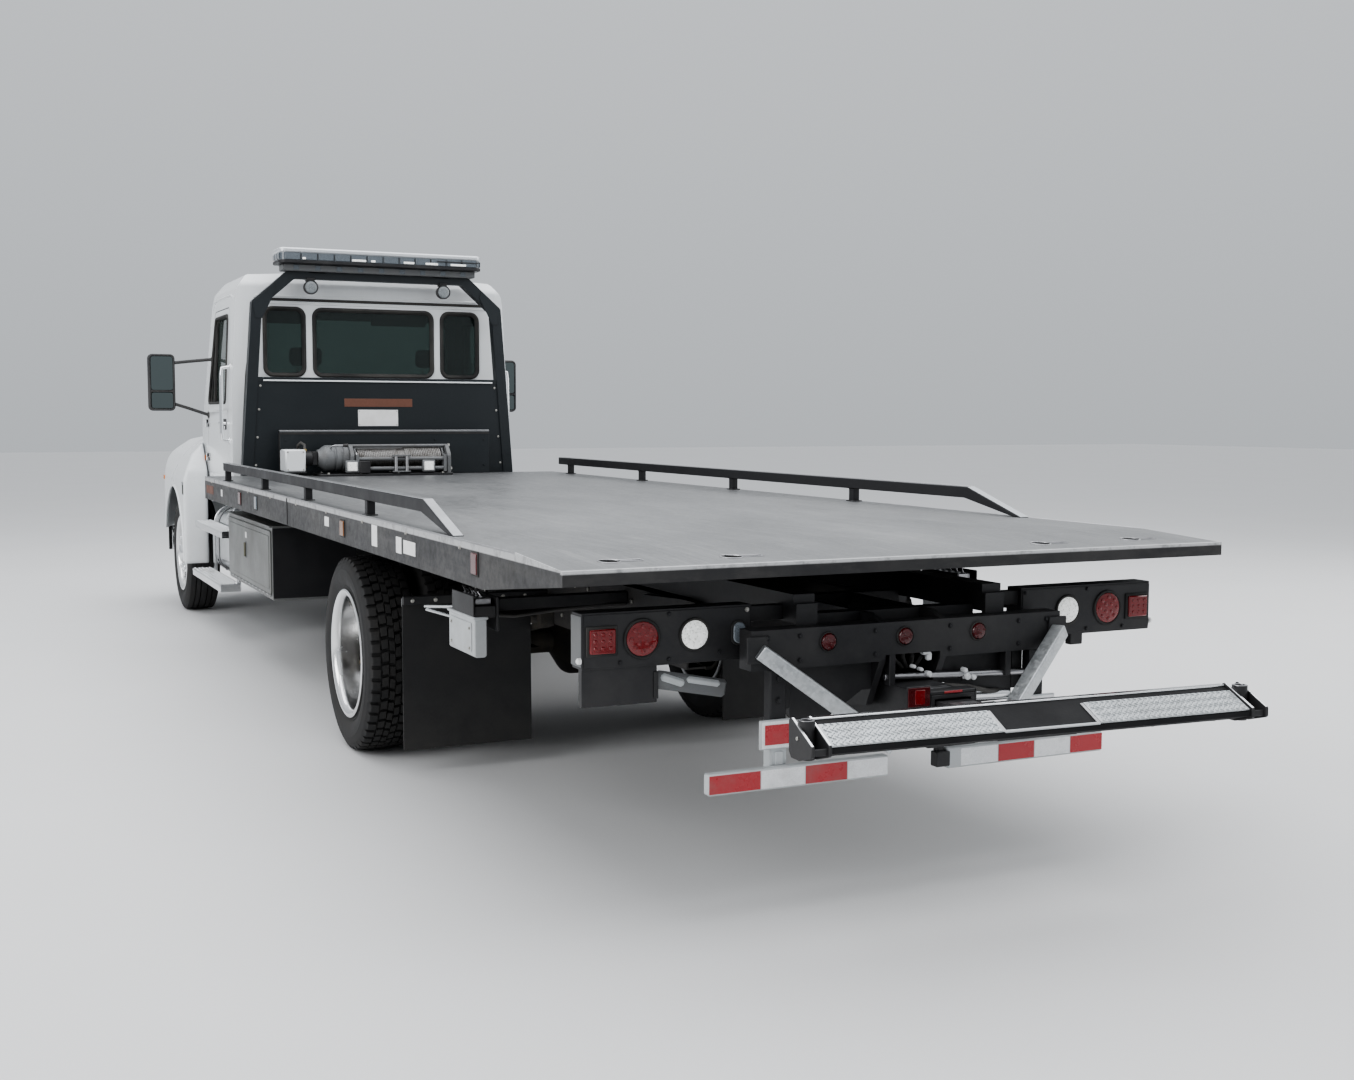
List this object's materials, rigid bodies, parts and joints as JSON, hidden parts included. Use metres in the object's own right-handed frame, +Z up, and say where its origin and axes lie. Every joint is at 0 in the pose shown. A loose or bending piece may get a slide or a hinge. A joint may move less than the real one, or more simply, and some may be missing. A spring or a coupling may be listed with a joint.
{
  "type": "flatbed tow truck",
  "caption": "Two-axle flatbed tow truck with a conventional cab, tilting and sliding deck, winch, light pylon and a wheel lift at the tail.",
  "frame": {"origin": "on the ground under the middle of the truck's length and width", "axes": "+X to the truck's left, +Y to its tail, +Z up; the cab faces -Y"},
  "size_m": [3, 10.7165, 2.7999],
  "materials": {
    "white_paint": "gloss white cab paint, lightly weathered",
    "navy_paint": "gloss black-blue paint, dusty",
    "chassis_paint": "satin black chassis paint with road dirt",
    "deck_steel": "grey painted steel deck, worn and streaked",
    "aluminium": "polished aluminium",
    "galvanised": "galvanised steel, speckled",
    "chrome": "chrome",
    "steel": "bare steel",
    "tyre": "worn rubber tread",
    "rubber": "matt black rubber",
    "glass": "clear tinted glass",
    "seat_cloth": "grey woven seat cloth",
    "dark_trim": "grained dark plastic",
    "lamp": "clear lamp lenses",
    "red_lamp": "red lamp lenses in a black box",
    "light_bar": "silver topped beacon bar",
    "cast": "dark cast iron and steel, oily"
  },
  "bodies": {
    "chassis": {"chassis_frame": "chassis_paint", "front_bumper": "chrome", "front_axle": "cast", "rear_axle": "cast", "leaf_springs": "cast", "engine_block": "cast", "driveshaft": "chassis_paint", "exhaust": "steel", "cab_shell": "white_paint", "cab_roof": "white_paint", "cab_windows": "glass", "seats": "seat_cloth", "dashboard": "dark_trim", "steering_wheel": "dark_trim", "fuel_tanks": "aluminium", "cab_steps": "aluminium", "toolboxes": "aluminium", "mud_flaps": "rubber", "control_stations": "galvanised", "light_pylon": "navy_paint", "pylon_lights": "light_bar"},
    "hood_assembly": {"hood": "white_paint", "headlamps": "lamp", "grille": "chrome"},
    "left_door": {"door_left": "white_paint", "door_glass_left": "glass", "mirror_left": "dark_trim"},
    "right_door": {"door_right": "white_paint", "door_glass_right": "glass", "mirror_right": "dark_trim"},
    "left_knuckle": {"knuckle_left": "cast"},
    "right_knuckle": {"knuckle_right": "cast"},
    "track_rod": {"tie_rod": "cast"},
    "left_front_wheel": {"front_tyre_left": "tyre", "front_wheel_left": "aluminium"},
    "right_front_wheel": {"front_tyre_right": "tyre", "front_wheel_right": "aluminium"},
    "left_rear_wheels": {"rear_tyres_left": "tyre", "rear_wheels_left": "aluminium"},
    "right_rear_wheels": {"rear_tyres_right": "tyre", "rear_wheels_right": "aluminium"},
    "subframe": {"tilt_frame": "chassis_paint", "tail_frame": "chassis_paint", "light_boxes": "red_lamp", "tail_bumpers": "chassis_paint", "lift_struts": "galvanised", "slide_barrel": "chassis_paint"},
    "bed": {"deck": "deck_steel", "side_rails": "galvanised", "winch": "chassis_paint", "slide_rod": "chrome"},
    "drum": {"winch_drum": "steel"},
    "rams_lower": {"ram_barrels": "chassis_paint"},
    "rams_upper": {"ram_rods": "chrome"},
    "boom": {"lift_boom": "chassis_paint"},
    "stinger": {"lift_extension": "chassis_paint"},
    "crossbar": {"lift_crossbar": "galvanised"}
  },
  "joints": [
    {"name": "hood_tilt", "type": "hinge", "parent": "chassis", "child": "hood_assembly", "pos_m": [0, -5.266, 0.715], "axis": [1, 0, 0], "range_deg": [0, 75]},
    {"name": "left_door_hinge", "type": "hinge", "parent": "chassis", "child": "left_door", "pos_m": [1.062, -3.695, 1.4], "axis": [0, 0, -1], "range_deg": [0, 70]},
    {"name": "right_door_hinge", "type": "hinge", "parent": "chassis", "child": "right_door", "pos_m": [-1.062, -3.695, 1.4], "axis": [0, 0, 1], "range_deg": [0, 70]},
    {"name": "left_steer", "type": "hinge", "parent": "chassis", "child": "left_knuckle", "pos_m": [0.93, -4.31, 0.469], "axis": [0, 0, 1], "range_deg": [-35, 35]},
    {"name": "right_steer", "type": "hinge", "parent": "chassis", "child": "right_knuckle", "pos_m": [-0.93, -4.31, 0.469], "axis": [0, 0, 1], "range_deg": [-35, 35]},
    {"name": "tie_rod_slide", "type": "slide", "parent": "chassis", "child": "track_rod", "axis": [1, 0, 0], "range_m": [-0.125, 0.125]},
    {"name": "left_front_roll", "type": "hinge", "parent": "left_knuckle", "child": "left_front_wheel", "pos_m": [1.075, -4.31, 0.469], "axis": [1, 0, 0], "continuous": true},
    {"name": "right_front_roll", "type": "hinge", "parent": "right_knuckle", "child": "right_front_wheel", "pos_m": [-1.075, -4.31, 0.469], "axis": [1, 0, 0], "continuous": true},
    {"name": "left_rear_roll", "type": "hinge", "parent": "chassis", "child": "left_rear_wheels", "pos_m": [0.9445, 1.56, 0.469], "axis": [1, 0, 0], "continuous": true},
    {"name": "right_rear_roll", "type": "hinge", "parent": "chassis", "child": "right_rear_wheels", "pos_m": [-0.9445, 1.56, 0.469], "axis": [1, 0, 0], "continuous": true},
    {"name": "bed_tilt", "type": "hinge", "parent": "chassis", "child": "subframe", "pos_m": [0, 3.79, 0.875], "axis": [-1, 0, 0], "range_deg": [0, 15]},
    {"name": "bed_slide", "type": "slide", "parent": "subframe", "child": "bed", "axis": [0, 1, 0], "range_m": [0, 3.2]},
    {"name": "winch_turn", "type": "hinge", "parent": "bed", "child": "drum", "pos_m": [0, -2.04, 1.305], "axis": [1, 0, 0], "continuous": true},
    {"name": "ram_swing", "type": "hinge", "parent": "chassis", "child": "rams_lower", "pos_m": [0, -0.6, 0.56], "axis": [1, 0, 0], "range_deg": [0, 25.4]},
    {"name": "ram_stroke", "type": "slide", "parent": "rams_lower", "child": "rams_upper", "axis": [0, 0.9384, 0.3455], "range_m": [0, 0.6]},
    {"name": "lift_tilt", "type": "hinge", "parent": "subframe", "child": "boom", "pos_m": [0, 3.96, 0.64], "axis": [1, 0, 0], "range_deg": [-25, 0]},
    {"name": "lift_extend", "type": "slide", "parent": "boom", "child": "stinger", "axis": [0, -1, 0], "range_m": [-0.6, 0]},
    {"name": "bar_swivel", "type": "hinge", "parent": "stinger", "child": "crossbar", "pos_m": [0, 5.14, 0.698], "axis": [0, 0, 1], "range_deg": [-31.5, 38.5]}
  ],
  "couplings": [
    {"joint": "right_steer", "follows": "left_steer", "ratio": 1},
    {"joint": "tie_rod_slide", "follows": "left_steer", "m_per_rad": -0.188},
    {"joint": "ram_swing", "follows": "bed_tilt", "ratio": 1.6802},
    {"joint": "ram_stroke", "follows": "bed_tilt", "m_per_rad": 2.245}
  ]
}
